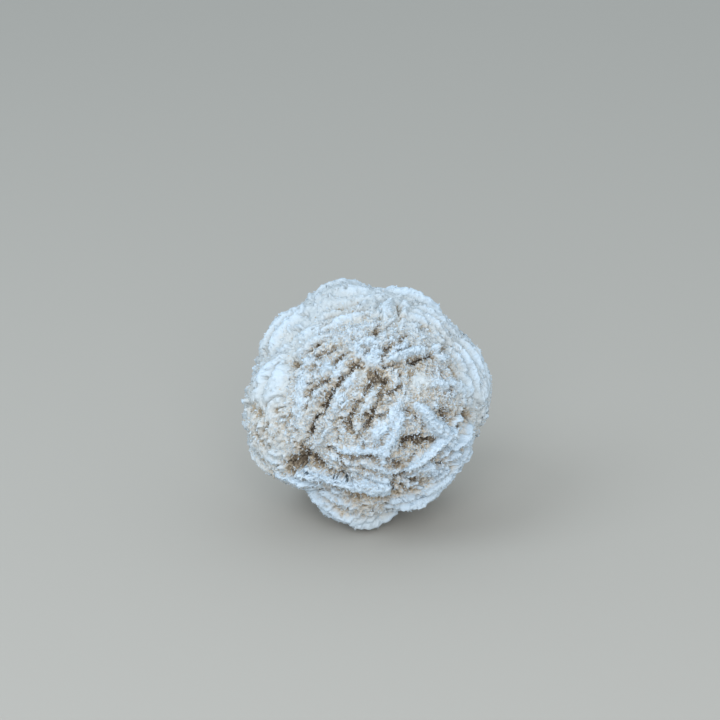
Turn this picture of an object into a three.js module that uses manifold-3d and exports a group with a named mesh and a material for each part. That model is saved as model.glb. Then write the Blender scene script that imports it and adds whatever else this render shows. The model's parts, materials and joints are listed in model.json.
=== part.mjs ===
// A gypsum sand rose, about 50 mm across: one solid of lens-shaped crystals grown together.
// Lumps of intergrown crystal make its body, and rows of upright or leaning blades stand out of them.
// Millimetres, +Z up, -Y is the front. The origin is under the middle of its box, on the surface it rests on.

import * as THREE from 'three';
import { mergeVertices } from 'three/addons/utils/BufferGeometryUtils.js';
import Module from 'manifold-3d';

// Driving dimensions
const CENTRE_HEIGHT = 23.2;   // from the resting surface up to the middle of the ball
const LARGE_LUMP = 16;        // a lump of this radius or more is divided more finely
const COARSE_SPLITS = 2;      // how often an icosahedron's edges are divided for a small lump
const FINE_SPLITS = 3;        // and for a large one
const LUMP_SWELL = 1.015;     // a faceted lump this much larger holds as much as a true ball
const GROUND_SIZE = 100;      // of the block that cuts the base level, larger than the ball
const SAME_POINT = 1e-4;      // points nearer than this are one
const BLADE_SIDES = 10;       // facets round a blade's rim
const BLADE_DEPTH = 0.62;     // how deep a blade runs into the body, as a share of its length

// A blade's section, from the middle of one face round the rim: [share of radius, share of half thickness].
const BLADE_SECTION = [[0, -1], [0.82, -0.72], [1, 0], [0.82, 0.72], [0, 1]];

// Lumps: the place of each one's middle, measured from the middle of the ball, and its radius.
const LUMPS = [
  { name: 'main', x: 0.8, y: 0.6, z: 1.6, radius: 20.7 },
  { name: 'front', x: 1.0, y: -3.5, z: 1.2, radius: 19.4 },
  { name: 'back', x: 0.0, y: 5.2, z: 0.0, radius: 17.2 },
  { name: 'left', x: -9.6, y: -3.5, z: -0.4, radius: 15.2 },
  { name: 'left_shoulder', x: -10.0, y: 4.5, z: 5.9, radius: 12.4 },
  { name: 'crown', x: -4.6, y: 5.9, z: 11.1, radius: 11.6 },
  { name: 'right', x: 8.9, y: 0.0, z: 2.4, radius: 14.6 },
  { name: 'lower_right', x: 7.2, y: -5.8, z: -4.4, radius: 10.8 },
  { name: 'under', x: 0.5, y: 1.5, z: -8.5, radius: 12.3 },
  { name: 'front_foot', x: -1.9, y: -6.4, z: -12.0, radius: 9.3 },
  { name: 'back_left_foot', x: -7.0, y: 7.0, z: -10.6, radius: 10.6 },
  { name: 'back_right_foot', x: 8.0, y: 6.5, z: -10.2, radius: 10.6 },
];

// Rows of blades: name, lon, lat, dir, count, step, turn, length, thick, stand and lean.
// lon and lat say where on the ball a row's middle lies, in degrees from the front (-Y) towards +X and up
// from level. dir is the way the rims run, in degrees from due east towards the top. A row has count blades,
// step apart, each turned by turn from the one before it. length and thick are a blade's size, stand is how
// far its rim stands out of the lumps, and lean, where there is one, tips it over its own rim.
const ROWS = [
  ['centre', -6, 27, 53, 4, 4.7, -2, 16, 5.0, 1.1],
  ['upper', -11, 57, 34, 4, 3.7, 5, 16, 3.4, 1.3],
  ['upper_left', -48, 50, 48, 3, 3.4, 9, 14, 2.8, 1.0],
  ['straight_edge', 33, 45, 0, 1, 0, 0, 17, 2.6, 2.5],
  ['right_cross', 46, 33, -29, 2, 4.6, 10, 12, 3.0, 1.5],
  ['lambda_left', 12, 9, 66, 1, 0, 0, 14, 3.2, 2.6],
  ['lambda_right', 33, 9, -53, 1, 0, 0, 15, 3.4, 2.6],
  ['right_teeth', 62, 2, -6, 4, 3.6, 9, 12, 2.9, 1.0],
  ['right_rim', 76, 24, -108, 4, 2.8, 4, 15, 2.2, 1.3],
  ['right_waist', 94, 4, -80, 2, 3.6, 6, 13, 2.8, 1.0],
  ['foot_ledge', -26, -47, -34, 2, 4.0, -8, 12, 3.4, 1.2],
  ['front_foot', -12, -67, -30, 2, 3.4, 8, 11, 3.0, 2.7],
  ['left_face', -54, 11, 98, 3, 6.6, 5, 19, 6.0, 0.3],
  ['left_waist', -92, -4, 84, 2, 4.4, 6, 15, 3.4, 1.1],
  ['left_brow', -104, 38, 118, 3, 3.4, 5, 15, 3.4, 0.9],
  ['crown_arc', -98, 76, 92, 3, 3.4, 8, 13, 3.6, 0.9],
  ['crown_slab', 55, 74, 36, 2, 3.0, 6, 11, 3.0, 1.3],
  ['right_shoulder', 84, 54, -100, 4, 3.2, -3, 14, 2.6, 1.0],
  ['crown_back', 215, 50, 8, 3, 4.4, 6, 14, 3.0, 0.9],
  ['back_high', 150, 48, 40, 5, 3.4, 3, 16, 2.8, 1.6],
  ['back_middle', 190, 12, 115, 6, 3.6, -4, 17, 3.0, 2.3],
  ['back_right', 125, 5, 62, 5, 3.5, 4, 16, 2.8, 1.7],
  ['back_left', 245, 14, 60, 4, 3.4, 3, 15, 3.0, 1.4],
  ['back_low', 175, -32, 6, 3, 3.8, 4, 15, 2.8, 1.4],
  ['back_left_foot', 222, -66, 40, 2, 3.6, 8, 11, 3.4, 2.6],
  ['back_right_foot', 130, -65, -30, 2, 3.6, 8, 11, 3.4, 3.0],
  ['under_left', -60, -52, 30, 2, 4.0, 6, 12, 2.8, 1.2],
  ['under_right', 76, -46, -50, 2, 4.0, 8, 12, 2.4, 0.4],
  ['smile', -4, -1, -8, 1, 0, 0, 12, 2.6, 1.7, -4],
  ['lower_ledge', -17, -23, -25, 1, 0, 0, 20, 3.2, 1.9, -4],
  ['under_ledge', -20, -35, -28, 1, 0, 0, 15, 2.8, 1.5, -2],
  ['block', 4, -24, -10, 1, 0, 0, 10, 4.2, 2.1, -6],
  ['left_lip', -49, -21, -18, 2, 3.4, 5, 17, 2.8, 1.7, -4],
  ['shingles', 41, -15, 31, 5, 3.2, -2, 20, 1.6, 2.6, -2],
  ['low_shingles', 36, -42, 30, 3, 2.8, 4, 15, 1.7, 2.4, -6],
  ['back_low_right', 126, -34, -12, 5, 3.0, 5, 13, 1.9, 0.5, -4],
  ['back_low_left', 235, -34, 14, 5, 3.0, -5, 17, 1.9, 1.5, -4],
  ['low_plate', 46, -30, 42, 2, 3.0, 4, 11, 1.6, 2.6, 4],
  ['foot_plate', 38, -43, 32, 2, 2.8, 4, 11, 1.6, 3.3, 2],
  ['bottom_lens', 3, -66, 10, 1, 0, 0, 10, 2.4, 1.3, -6],
  ['left_tip', -74, -24, -24, 2, 2.6, 8, 12, 1.5, 1.1, 24],
  ['back_plate', 150, -30, 8, 2, 4.0, 6, 14, 1.5, 1.3, 24],
];

const gypsum = new THREE.MeshStandardMaterial({ color: '#c9dbe4', roughness: 0.85, metalness: 0 });

const wasm = await Module();
wasm.setup();

// A closed geometry as a solid that can be joined and cut. Facets with no width, such as those at a pole, go.
function solidOf(geometry) {
  const bare = geometry.clone();
  bare.deleteAttribute('normal');
  bare.deleteAttribute('uv');
  const merged = mergeVertices(bare, SAME_POINT);
  const index = merged.index.array;
  const triVerts = [];
  for (let i = 0; i < index.length; i += 3) {
    const [a, b, c] = index.subarray(i, i + 3);
    if (a !== b && b !== c && c !== a) triVerts.push(a, b, c);
  }
  const mesh = new wasm.Mesh({
    numProp: 3,
    vertProperties: new Float32Array(merged.attributes.position.array),
    triVerts: new Uint32Array(triVerts),
  });
  return new wasm.Manifold(mesh);
}

function geometryOf(solid) {
  const mesh = solid.getMesh();
  const geometry = new THREE.BufferGeometry();
  geometry.setAttribute('position', new THREE.BufferAttribute(mesh.vertProperties, 3));
  geometry.setIndex(new THREE.BufferAttribute(mesh.triVerts, 1));
  geometry.computeVertexNormals();
  return geometry;
}

function directionOf(lon, lat) {
  const [a, b] = [lon, lat].map(THREE.MathUtils.degToRad);
  return new THREE.Vector3(Math.cos(b) * Math.sin(a), -Math.cos(b) * Math.cos(a), Math.sin(b));
}

// How far the lumps reach from the middle of the ball in one direction.
function lumpReach(direction) {
  const reaches = LUMPS.map(({ x, y, z, radius }) => {
    const middle = new THREE.Vector3(x, y, z);
    const along = direction.dot(middle);
    const clear = along * along - middle.lengthSq() + radius * radius;
    return clear < 0 ? 0 : along + Math.sqrt(clear);
  });
  return Math.max(...reaches);
}

// One lens-shaped crystal as a lathed disc, its axis along Y, flattened towards the body.
function bladeGeometry(length, thick) {
  const section = BLADE_SECTION.map(([out, up]) => new THREE.Vector2(out * length / 2, up * thick / 2));
  return new THREE.LatheGeometry(section, BLADE_SIDES).scale(1, 1, BLADE_DEPTH);
}

// Turns and carries a blade so that its rim crosses outward at a distance of reach, running along rim.
function placeBlade(geometry, outward, rim, lean, depth, reach) {
  const across = new THREE.Vector3().crossVectors(outward, rim).applyAxisAngle(rim, lean);
  const out = new THREE.Vector3().crossVectors(rim, across);
  const middle = outward.clone().multiplyScalar(reach).addScaledVector(out, -depth);
  const turn = new THREE.Matrix4().makeBasis(rim, across, out).setPosition(middle);
  return geometry.applyMatrix4(turn);
}

// The blades of one row, each stepped round the ball from its neighbour, square to the way the rims run.
function bladesOf([, lon, lat, dir, count, step, turn, length, thick, stand, lean = 0]) {
  const middle = directionOf(lon, lat);
  const east = directionOf(lon + 90, 0);
  const rim = east.clone().applyAxisAngle(middle, THREE.MathUtils.degToRad(dir));
  const blades = [];
  for (let i = 0; i < count; i += 1) {
    const place = i - (count - 1) / 2;
    const swing = place * step / lumpReach(middle);
    const outward = middle.clone().applyAxisAngle(rim, swing);
    const ownRim = rim.clone().applyAxisAngle(outward, THREE.MathUtils.degToRad(place * turn));
    const reach = lumpReach(outward) + stand;
    const depth = BLADE_DEPTH * length / 2;
    const geometry = bladeGeometry(length, thick);
    blades.push(placeBlade(geometry, outward, ownRim, THREE.MathUtils.degToRad(lean), depth, reach));
  }
  return blades;
}

function lumpGeometry({ x, y, z, radius }) {
  const splits = radius < LARGE_LUMP ? COARSE_SPLITS : FINE_SPLITS;
  return new THREE.IcosahedronGeometry(radius * LUMP_SWELL, splits).translate(x, y, z);
}

// Everything joined, then cut off level where it rests.
function roseGeometry() {
  const pieces = [...LUMPS.map(lumpGeometry), ...ROWS.flatMap(bladesOf)];
  const whole = pieces.map(solidOf).reduce((joined, piece) => joined.add(piece));
  const ground = new THREE.BoxGeometry(GROUND_SIZE, GROUND_SIZE, GROUND_SIZE);
  ground.translate(0, 0, -CENTRE_HEIGHT - GROUND_SIZE / 2);
  return geometryOf(whole.subtract(solidOf(ground)));
}

const rose = new THREE.Mesh(roseGeometry(), gypsum);
rose.name = 'sand_rose';
rose.geometry.computeBoundingBox();
const box = rose.geometry.boundingBox;
rose.position.set(-(box.min.x + box.max.x) / 2, -(box.min.y + box.max.y) / 2, -box.min.z);

const part = new THREE.Group();
part.add(rose);

export default part;
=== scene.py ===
"""The finish of a gypsum sand rose: its crystal crust, thin plates, sugary flakes and trapped sand.

The script is laid out as an add-on. Every shape is worked out in millimetres from the middle of the ball
with numpy, as a surface over two parameters, and is written to its mesh in metres.
"""
import itertools
import json
import math
from typing import NamedTuple

import bpy
import numpy as np
from bpy.props import FloatProperty, FloatVectorProperty, IntProperty, PointerProperty
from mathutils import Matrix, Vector

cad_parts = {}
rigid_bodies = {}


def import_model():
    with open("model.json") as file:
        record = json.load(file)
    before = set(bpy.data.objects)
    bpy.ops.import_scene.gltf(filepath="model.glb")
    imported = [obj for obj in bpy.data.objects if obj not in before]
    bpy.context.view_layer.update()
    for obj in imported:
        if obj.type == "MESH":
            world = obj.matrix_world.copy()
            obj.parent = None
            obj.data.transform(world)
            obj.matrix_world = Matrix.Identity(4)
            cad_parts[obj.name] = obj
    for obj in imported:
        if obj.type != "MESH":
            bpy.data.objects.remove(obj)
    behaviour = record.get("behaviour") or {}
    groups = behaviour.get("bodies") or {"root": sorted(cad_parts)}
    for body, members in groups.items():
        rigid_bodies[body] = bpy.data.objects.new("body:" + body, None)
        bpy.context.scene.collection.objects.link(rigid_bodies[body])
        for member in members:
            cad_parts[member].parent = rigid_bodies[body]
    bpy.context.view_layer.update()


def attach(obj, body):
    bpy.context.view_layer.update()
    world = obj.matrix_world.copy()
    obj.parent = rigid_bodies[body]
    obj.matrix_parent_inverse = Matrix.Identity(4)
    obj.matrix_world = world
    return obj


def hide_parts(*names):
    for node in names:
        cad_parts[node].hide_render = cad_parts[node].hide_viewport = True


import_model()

bl_info = {
    "name": "Gypsum Sand Rose",
    "version": (1, 0, 0),
    "blender": (4, 5, 0),
    "location": "View3D > Sidebar > Sand Rose",
    "description": "Builds the crust, plates, flakes and sand of a gypsum sand rose",
    "category": "Add Mesh",
}

MM = 0.001
NODE = "sand_rose"

# The middle of the ball in the frame, and the ball's usual radius, mm.
BALL_MIDDLE = np.array([0.604, 0.255, 23.2])
BALL_RADIUS = 24.5

# A blade runs this share of its length into the body. Blades in a row stand out by these least and most
# shares of the row's own stand, and are as thick as these shares of its thickness. Each is out of its place
# by up to this share of a step, and its rim turned by up to this many degrees.
BLADE_DEPTH = 0.62
STAND_SHARES = (0.72, 1.12)
THICK_SHARES = (0.8, 1.25)
PLACE_PUSH = 0.14
RIM_TURN = 5

# Small blades and slits: the usual way they run and how widely that spreads, degrees, and the least and most
# of their other sizes, mm.
SMALL_WAYS = (45, 38)
SMALL_LENGTHS = (2.2, 5.5)
SMALL_THICKS = (0.45, 0.85)
SMALL_STANDS = (0.1, 0.8)
SLIT_WAYS = (38, 30)
SLIT_LENGTHS = (0.6, 3.0)
SLIT_WIDTHS = (0.22, 0.4)
SLIT_DEPTHS = (0.5, 1.3)

# Flakes: the least and most length, as shares of the usual one, and half width, half thickness and height
# over the crust, as shares of a flake's own length.
FLAKE_LENGTHS = (0.55, 1.35)
FLAKE_WIDTHS = (0.13, 0.26)
FLAKE_THICKS = (0.06, 0.12)
FLAKE_HEIGHTS = (-0.05, 0.25)

# How wide the rounding is where blades cross, where lumps meet, and where a blade rises from them, mm.
BLADE_JOIN = 0.09
LUMP_JOIN = 0.4
FOOT_JOIN = 0.22

# Points round each thin plate's disc, and across it from one face to the other.
PLATE_AROUND = 128
PLATE_ACROSS = 36

# Each wedge of the crust is this many cells wider than its sixth of the ball, so that it runs under its
# neighbours, and past its border it sinks by this much for each mm.
OVERLAP_CELLS = 5.0
OVERLAP_SLOPE = 0.3

# A plate is coloured as if it stood this much lower than it does, mm, so it takes more of the painted shade
# and sand of the hollows.
PLATE_SUNK = 0.6

# Flakes and grains keep out of this distance from the ball's middle, and this far off the floor, mm.
DEEP_INSIDE = 15.0
FLOOR_GAP = 0.4

# The grain's height shows this many times over in the height that colours the crust, so the painted shade of
# the hollows also darkens the grain's small dips.
GRAIN_IN_COLOUR = 1.6

# Seeds of the random numbers.
SMALL_BLADE_SEED = 3
SLIT_SEED = 5
FLAKE_SEED = 7
SAND_SEED = 19

# Large soft lights: each one's place from the middle of the floor, m, its width, m, and its colour.
LIGHTS = {
    "key": ((-0.42, -0.26, 0.52), 0.40, "#E2F0FF"),
    "fill": ((0.0, -0.76, 0.36), 0.60, "#F7F8FF"),
}
SKY_COLOUR = "#D3E1EC"

# Half the floor's side, m.
FLOOR_HALF = 3.0

# The camera aims this far left of the ball's middle and above it, as seen, so that the ball sits low, mm.
AIM_LEFT = 1.98
AIM_ABOVE = 8.73
SENSOR_WIDTH = 36.0


class Lump(NamedTuple):
    """A rounded mass of intergrown crystal: its middle, measured from the ball's, and its radius, mm."""
    name: str
    x: float
    y: float
    z: float
    radius: float


class Row(NamedTuple):
    """Like blades side by side. lon and lat (degrees from the front towards +X, and up from level) say where
    the row's middle is, dir the way its rims run (degrees from east to up), step and turn how far each blade
    stands (mm) and turns (degrees) from the last, and stand how far the rims stand out of the lumps (mm).
    Length and thick are a whole blade's, mm. lean tips each blade about its own rim, degrees."""
    name: str
    lon: float
    lat: float
    dir: float
    count: int
    step: float
    turn: float
    length: float
    thick: float
    stand: float
    lean: float = 0.0


class Spot(NamedTuple):
    """A round patch of the crust: its place in degrees, its spread in degrees, and how strong it is."""
    lon: float
    lat: float
    spread: float
    amount: float


class Pit(NamedTuple):
    """A hole in the crust: its place in degrees, its radius and its depth, mm."""
    lon: float
    lat: float
    radius: float
    depth: float


class Furrow(NamedTuple):
    """A straight slit between two blades, from one place in degrees to another, its width and depth, mm."""
    lon: float
    lat: float
    end_lon: float
    end_lat: float
    width: float
    depth: float


class Blade(NamedTuple):
    """One lens-shaped crystal: unit vectors along its rim, through its thickness and outwards, its middle,
    its half sizes along those three, mm, and the number that seeds its own grain."""
    axes: np.ndarray
    middle: np.ndarray
    halves: np.ndarray
    salt: int


LUMPS = (
    Lump("main", 0.8, 0.6, 1.6, 20.7),
    Lump("front", 1.0, -3.5, 1.2, 19.4),
    Lump("back", 0.0, 5.2, 0.0, 17.2),
    Lump("left", -9.6, -3.5, -0.4, 15.2),
    Lump("left_shoulder", -10.0, 4.5, 5.9, 12.4),
    Lump("crown", -4.6, 5.9, 11.1, 11.6),
    Lump("right", 8.9, 0.0, 2.4, 14.6),
    Lump("lower_right", 7.2, -5.8, -4.4, 10.8),
    Lump("under", 0.5, 1.5, -8.5, 12.3),
    Lump("front_foot", -1.9, -6.4, -12.0, 9.3),
    Lump("back_left_foot", -7.0, 7.0, -10.6, 10.6),
    Lump("back_right_foot", 8.0, 6.5, -10.2, 10.6),
)

# Blades that stand straight out of the body: their rims are ridges of the crust.
UPRIGHT_ROWS = (
    Row("centre", -6, 27, 53, 4, 4.7, -2, 16, 5.0, 1.1),
    Row("upper", -11, 57, 34, 4, 3.7, 5, 16, 3.4, 1.3),
    Row("upper_left", -48, 50, 48, 3, 3.4, 9, 14, 2.8, 1.0),
    Row("lattice_up", 8, 50, 62, 4, 2.6, 7, 8, 0.9, 0.9),
    Row("lattice_across", 14, 47, 22, 3, 3.0, 6, 9, 0.9, 0.9),
    Row("straight_edge", 33, 45, 0, 1, 0, 0, 17, 2.6, 2.5),
    Row("right_cross", 46, 33, -29, 2, 4.6, 10, 12, 3.0, 1.5),
    Row("lambda_left", 12, 9, 66, 1, 0, 0, 14, 3.2, 1.7),
    Row("lambda_right", 33, 9, -53, 1, 0, 0, 15, 3.4, 2.6),
    Row("right_teeth", 62, 2, -6, 4, 3.6, 9, 12, 2.9, 1.0),
    Row("right_rim", 76, 24, -108, 4, 2.8, 4, 15, 2.2, 1.3),
    Row("right_waist", 94, 4, -80, 2, 3.6, 6, 13, 2.8, 0.7),
    Row("foot_ledge", -26, -47, -34, 2, 4.0, -8, 12, 3.4, 1.2),
    Row("front_foot", -12, -67, -30, 2, 3.4, 8, 11, 3.0, 2.2),
    Row("left_face", -54, 11, 98, 3, 6.6, 5, 19, 6.0, 0.3),
    Row("left_waist", -92, -4, 84, 2, 4.4, 6, 15, 3.4, 0.7),
    Row("left_brow", -104, 38, 118, 3, 3.4, 5, 15, 3.4, 0.9),
    Row("crown_arc", -98, 76, 92, 3, 3.4, 8, 13, 3.6, 0.5),
    Row("crown_slab", 55, 74, 36, 2, 3.0, 6, 11, 3.0, 1.3),
    Row("right_shoulder", 84, 54, -100, 4, 3.2, -3, 14, 2.6, 1.0),
    Row("crown_back", 215, 50, 8, 3, 4.4, 6, 14, 3.0, 0.9),
    Row("back_high", 150, 48, 40, 5, 3.4, 3, 16, 2.8, 1.6),
    Row("back_middle", 190, 12, 115, 6, 3.6, -4, 17, 3.0, 1.7),
    Row("back_right", 125, 5, 62, 5, 3.5, 4, 16, 2.8, 1.7),
    Row("back_left", 245, 14, 60, 4, 3.4, 3, 15, 3.0, 1.4),
    Row("back_low", 175, -32, 6, 3, 3.8, 4, 15, 2.8, 1.4),
    Row("back_left_foot", 222, -66, 40, 2, 3.6, 8, 11, 3.4, 2.6),
    Row("back_right_foot", 130, -65, -30, 2, 3.6, 8, 11, 3.4, 3.0),
    Row("under_left", -60, -52, 30, 2, 4.0, 6, 12, 2.8, 1.2),
    Row("under_right", 76, -46, -50, 2, 4.0, 8, 12, 2.4, 0.4),
)

# Blades that lean over the body like shingles but are buried up to their free edges.
BURIED_ROWS = (
    Row("smile", -4, -1, -8, 1, 0, 0, 12, 2.6, 1.7, -4),
    Row("lower_ledge", -17, -23, -25, 1, 0, 0, 20, 3.2, 1.9, -4),
    Row("under_ledge", -20, -35, -28, 1, 0, 0, 15, 2.8, 1.5, -2),
    Row("sugar_ledges", 4, -13, -24, 2, 2.8, 6, 12, 2.0, 1.3, -4),
    Row("block", 4, -24, -10, 1, 0, 0, 10, 4.2, 2.1, -6),
    Row("left_lip", -49, -21, -18, 2, 3.4, 5, 17, 2.8, 1.7, -4),
    Row("shingles", 41, -15, 31, 5, 3.2, -2, 20, 1.6, 2.6, -2),
    Row("low_shingles", 36, -42, 30, 3, 2.8, 4, 15, 1.7, 2.4, -6),
    Row("foot_shingles", -22, -60, -30, 2, 3.2, 9, 12, 2.6, 1.4, -6),
    Row("back_low_right", 126, -34, -12, 5, 3.0, 5, 13, 1.9, 0.5, -4),
    Row("back_low_left", 235, -34, 14, 5, 3.0, -5, 17, 1.9, 1.5, -4),
)

# Blades with a free edge, each a thin plate of its own.
PLATE_ROWS = {
    "right_plates": (
        Row("right_plate", 62, -13, -62, 1, 0, 0, 9, 1.7, 1.6, 12),
        Row("middle_plate", 52, -20, 58, 1, 0, 0, 9, 1.6, 1.6, 6),
        Row("low_plate", 46, -30, 42, 2, 3.0, 4, 11, 1.6, 2.6, 4),
        Row("foot_plate", 38, -43, 32, 2, 2.8, 4, 11, 1.6, 3.3, 2),
    ),
    "open_faces": (
        Row("rim_faces", 86, 14, 75, 2, 5.0, 6, 8, 1.8, 0.4, 62),
    ),
    "foot_lenses": (
        Row("bottom_lens", 3, -66, 10, 1, 0, 0, 10, 2.4, 1.3, -6),
        Row("left_tip", -74, -24, -24, 2, 2.6, 8, 12, 1.5, 1.1, 24),
    ),
    "back_plates": (
        Row("back_plate", 150, -30, 8, 2, 4.0, 6, 14, 1.5, 1.3, 24),
        Row("back_left_plate", 262, -26, -14, 2, 4.0, 6, 14, 1.5, 1.3, 24),
    ),
}

# Where sand has packed the hollows, and where the crystal faces are worn smooth. The sandy spots low on the
# left and under the ball also stand for the brown shade there, so they are partly painted shade.
SAND_AND_SHADE_SPOTS = (
    Spot(-5, 26, 26, 0.75),
    Spot(34, 30, 18, 0.7),
    Spot(32, 4, 18, 0.8),
    Spot(-5, -14, 20, 0.8),
    Spot(-42, 8, 10, 0.6),
    Spot(15, 55, 14, 0.35),
    Spot(-45, 68, 16, 0.3),
    # These two lay painted brown shade low on the left, under the lobe, as well as sand.
    Spot(-30, -45, 22, 0.8),
    Spot(-52, -32, 14, 0.8),
    Spot(-46, 42, 15, 0.5),
    Spot(-64, -2, 12, 0.5),
    Spot(56, -20, 22, 0.8),
    Spot(22, -52, 24, 0.6),
    Spot(-34, -13, 9, 0.8),
    Spot(-10, -32, 16, 0.6),
    Spot(27, -15, 14, 0.8),
    Spot(4, -34, 15, 0.6),
    Spot(150, 10, 30, 0.6),
    Spot(215, -15, 26, 0.6),
    # Painted brown shade under the ball, as well as sand.
    Spot(0, -90, 40, 0.6),
)
SMOOTH_SPOTS = (
    Spot(-60, 16, 13, 0.5),
    Spot(-60, 50, 10, 0.4),
    Spot(-105, 60, 22, 0.15),
    Spot(28, 31, 5, 1.0),
    Spot(-4, 38, 4, 0.9),
    Spot(88, 20, 8, 0.5),
    Spot(62, -24, 8, 0.4),
    Spot(44, -42, 9, 0.6),
    Spot(5, -66, 14, 0.8),
)

PITS = (
    Pit(-5, 40, 1.1, 2.4),
    Pit(8, 33, 0.9, 1.8),
    Pit(-10, 10, 1.0, 1.8),
    Pit(6, 16, 1.0, 1.8),
    Pit(18, 18, 1.0, 2.2),
    Pit(-24, 19, 0.9, 1.4),
    Pit(16, 0, 1.0, 1.6),
    Pit(42, 12, 1.2, 1.8),
    Pit(-41, -16, 1.2, 1.2),
    Pit(-14, -14, 1.1, 1.6),
    Pit(-4, -13, 1.0, 1.6),
    Pit(-2, -36, 1.8, 2.0),
    Pit(13, -10, 1.2, 2.0),
    Pit(30, -24, 1.0, 1.6),
    Pit(-12, -38, 1.6, 2.2),
    Pit(-26, -36, 1.5, 2.2),
    Pit(8, -38, 1.4, 2.0),
    Pit(-56, 35, 0.6, 1.3),
    Pit(-48, 37, 0.5, 1.3),
    Pit(-41, 38, 0.4, 1.1),
    Pit(-22, 44, 0.9, 1.2),
    Pit(-28, 31, 1.0, 1.4),
    Pit(-61, -2, 0.8, 1.4),
    Pit(-67, -7, 0.6, 1.2),
    Pit(-42, 17, 0.8, 1.1),
    Pit(35, -11, 1.1, 1.6),
    Pit(59, 6, 0.9, 1.4),
    Pit(-70, 74, 1.0, 0.9),
    Pit(-2, 62, 0.5, 1.2),
    Pit(7, 61, 0.5, 1.3),
    Pit(6, 56, 0.5, 1.2),
    Pit(21, 63, 0.5, 1.2),
    Pit(27, 53, 0.5, 1.2),
    Pit(35, 56, 0.5, 1.2),
    Pit(-17, 77, 0.5, 1.0),
    Pit(31, 49, 0.5, 1.2),
    Pit(-2, 49, 0.6, 1.3),
    Pit(57, 62, 0.5, 1.2),
    Pit(-50, 10, 0.5, 1.1),
    Pit(-57, 3, 0.5, 1.2),
    Pit(-66, 10, 0.5, 1.1),
    Pit(-72, 3, 0.6, 1.1),
    Pit(-55, -8, 0.6, 1.2),
    Pit(-72, -14, 0.5, 1.1),
    Pit(-60, -17, 0.5, 1.1),
    Pit(-49, -3, 0.6, 1.3),
    Pit(-64, 26, 0.5, 1.1),
    Pit(-52, 27, 0.5, 1.2),
)

FURROWS = (
    Furrow(-25, 20, -9, 42, 1.0, 2.8),
    Furrow(-11, 12, 4, 36, 0.9, 2.6),
    Furrow(-2, 11, 9, 32, 0.8, 2.2),
    Furrow(-36, 23, -26, 34, 0.9, 2.2),
    Furrow(-53, 44, -45, 50, 0.6, 1.9),
    Furrow(-43, 42, -28, 50, 0.6, 2.0),
    Furrow(-24, 41, -19, 47, 0.8, 2.0),
    Furrow(8, 45, 17, 51, 0.8, 2.3),
    Furrow(10, 40, 19, 41, 0.8, 2.3),
    Furrow(28, 41, 43, 43, 1.0, 2.3),
    Furrow(10, 27, 16, 29, 0.6, 1.6),
    Furrow(-29, 14, -32, 3, 0.6, 2.9),
    Furrow(-17, -2, -9, -6, 0.7, 2.2),
    Furrow(-9, -6, 3, -4, 0.7, 2.2),
    Furrow(52, 8, 64, 5, 1.1, 2.9),
    Furrow(38, 14, 47, 4, 1.1, 1.9),
    Furrow(17, 3, 24, 4, 0.9, 2.6),
    Furrow(23, 1, 31, 2, 0.8, 3.2),
    Furrow(-35, -9, -43, -18, 1.7, 3.6),
    Furrow(-34, -9, -27, -14, 1.4, 3.6),
    Furrow(-24, -15, -10, -20, 0.8, 1.4),
    Furrow(-33, -26, -2, -36, 1.0, 2.4),
    Furrow(12, -16, 32, -15, 0.6, 1.8),
    Furrow(32, -15, 46, -14, 0.6, 1.7),
    Furrow(22, -27, 44, -27, 0.6, 2.0),
    Furrow(15, -24, 30, -34, 0.9, 2.2),
    Furrow(35, -11, 42, -7, 0.9, 1.8),
    Furrow(12, -21, 15, -32, 0.9, 2.6),
    Furrow(-77, 73, -75, 81, 1.3, 1.7),
    Furrow(24, 81, 117, 78, 0.6, 1.6),
    Furrow(87, 76, 48, 69, 0.6, 1.9),
    Furrow(48, 69, 51, 64, 0.6, 1.9),
    Furrow(-56, 59, -47, 63, 0.6, 1.4),
    Furrow(-70, 65, -59, 70, 0.6, 1.4),
    Furrow(-40, 71, -19, 78, 0.6, 1.4),
    Furrow(-61, 35, -53, 34, 0.9, 1.7),
    Furrow(-73, 5, -58, 7, 1.0, 1.3),
    Furrow(-64, -4, -57, -11, 0.6, 1.2),
    Furrow(2, 59, 10, 62, 0.6, 1.6),
    Furrow(27, 55, 37, 57, 0.6, 1.6),
    Furrow(51, 42, 63, 42, 0.7, 1.7),
    Furrow(61, 59, 63, 54, 0.7, 1.6),
    Furrow(56, 32, 58, 28, 0.8, 1.7),
    Furrow(87, -15, 50, -9, 0.55, 2.2),
    Furrow(80, -27, 48, -20, 0.6, 2.6),
    Furrow(74, -37, 38, -29, 0.6, 2.6),
    Furrow(15, -18, 36, -22, 0.7, 2.0),
    Furrow(70, 44, 79, 14, 0.4, 1.5),
    Furrow(62, 34, 68, 14, 0.4, 1.3),
    Furrow(-70, 54, -68, 59, 0.25, 1.0),
    Furrow(-63, 55, -60, 60, 0.25, 1.0),
    Furrow(-54, 57, -51, 61, 0.25, 1.0),
)


# ------------------------------------------------------------------ noise
# A salt is any whole number. It keeps one use of the random numbers apart from every other.

def cell_random(cells, salt):
    """A number from 0 to 1 for each whole-number cell: its three numbers are multiplied by large primes and
    combined bit by bit with the salt, then shifted and multiplied once more, and the low 24 bits are kept."""
    x, y, z = (cells[..., axis].astype(np.uint32) for axis in range(3))
    mixed = x * np.uint32(73856093) ^ y * np.uint32(19349663) ^ z * np.uint32(83492791)
    mixed ^= np.uint32(salt * 40503 + 977)
    mixed = (mixed ^ (mixed >> np.uint32(13))) * np.uint32(1540483477)
    mixed ^= mixed >> np.uint32(15)
    return (mixed & np.uint32(0xFFFFFF)) / float(0xFFFFFF)


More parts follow.
